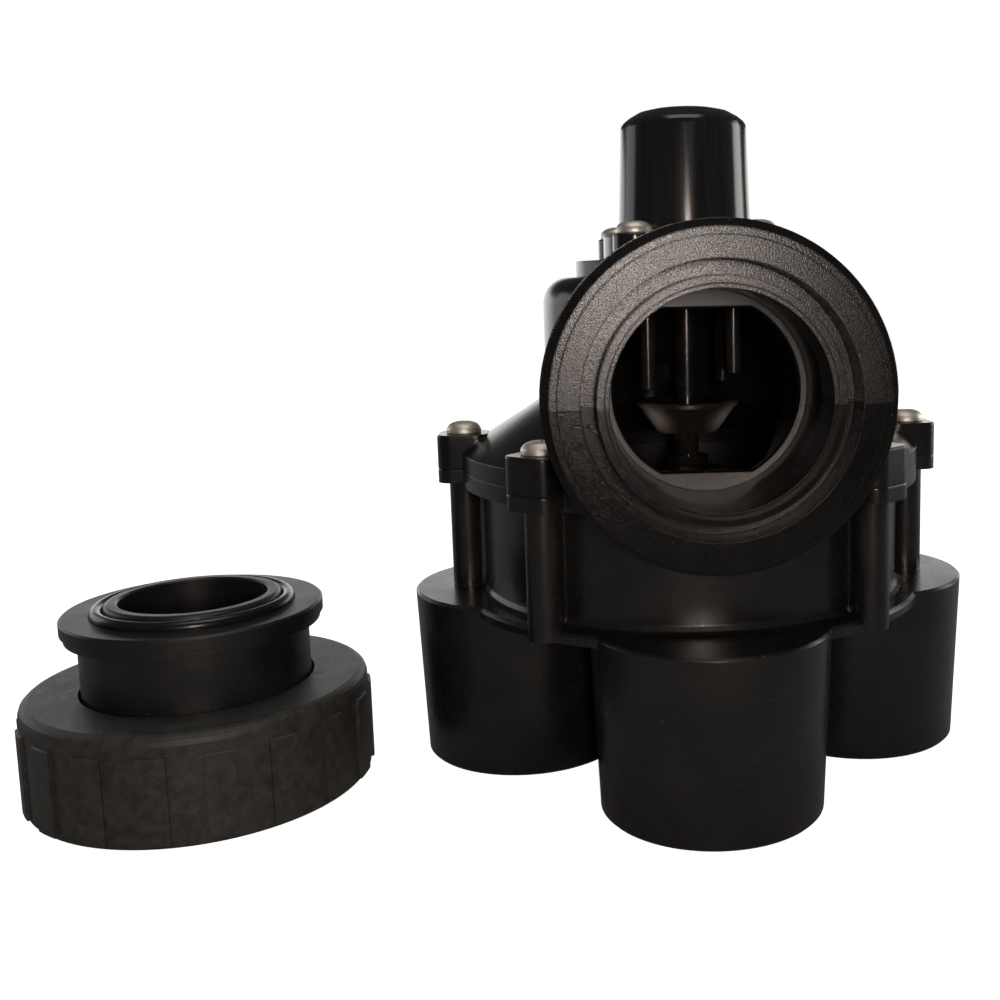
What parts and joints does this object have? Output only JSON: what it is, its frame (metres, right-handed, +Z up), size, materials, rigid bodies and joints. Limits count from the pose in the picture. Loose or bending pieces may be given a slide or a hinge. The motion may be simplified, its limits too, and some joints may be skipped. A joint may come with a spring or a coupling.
{
  "type": "multiport valve",
  "caption": "Black plastic water valve with pipe sockets below, a domed upper body, a threaded side inlet, a tall stem cap and a loose inlet union.",
  "frame": {"origin": "on the valve's axis, in the plane of the four outlet sockets' mouths, on which the valve stands", "axes": "+Z up along the valve's axis, -Y the way the inlet faces, so one outlet is under the inlet; the loose union stands at -X"},
  "size_m": [0.3305, 0.2006, 0.2275],
  "materials": {
    "body_plastic": "satin",
    "nut_plastic": "satin",
    "cap_plastic": "glossy",
    "stainless": "satin",
    "seal_rubber": "satin",
    "acetal": "satin",
    "inner_plastic": "satin"
  },
  "bodies": {
    "valve_body": {"base_housing": "body_plastic", "upper_housing": "body_plastic", "body_o_ring": "seal_rubber", "body_screws": "stainless", "stem_cap": "cap_plastic", "stem_cap_screws": "stainless", "stem_cap_o_ring": "seal_rubber", "cam_insert": "acetal", "seat_gasket": "seal_rubber", "stem_bush": "acetal", "lift_spring": "stainless"},
    "lifter": {"thrust_washer": "acetal"},
    "rotor": {"rotor_disc": "inner_plastic", "stem": "acetal", "cam_pin": "stainless", "flow_deflector": "inner_plastic", "rotor_lock_nut": "acetal"},
    "union_nut": {"union_nut": "nut_plastic"},
    "union_tail": {"union_tailpiece": "body_plastic", "union_o_ring": "seal_rubber"}
  },
  "joints": [
    {"name": "stem_travel", "type": "slide", "parent": "valve_body", "child": "lifter", "axis": [0, 0, -1], "range_m": [0, 0.012], "stiffness_N_per_m": 400, "springref_m": -0.01, "deforming": ["lift_spring"]},
    {"name": "rotor_turn", "type": "hinge", "parent": "lifter", "child": "rotor", "pos_m": [0, 0, 0.08], "axis": [0, 0, 1], "range_deg": [0, 45]},
    {"name": "nut_spin", "type": "hinge", "parent": "valve_body", "child": "union_nut", "pos_m": [-0.173, -0.0225, 0.02], "axis": [0, 0, 1], "continuous": true},
    {"name": "tail_lift", "type": "slide", "parent": "valve_body", "child": "union_tail", "axis": [0, 0, 1], "range_m": [0, 0.06]}
  ],
  "couplings": [
    {"joint": "rotor_turn", "follows": "stem_travel", "rad_per_m": 65.44}
  ]
}
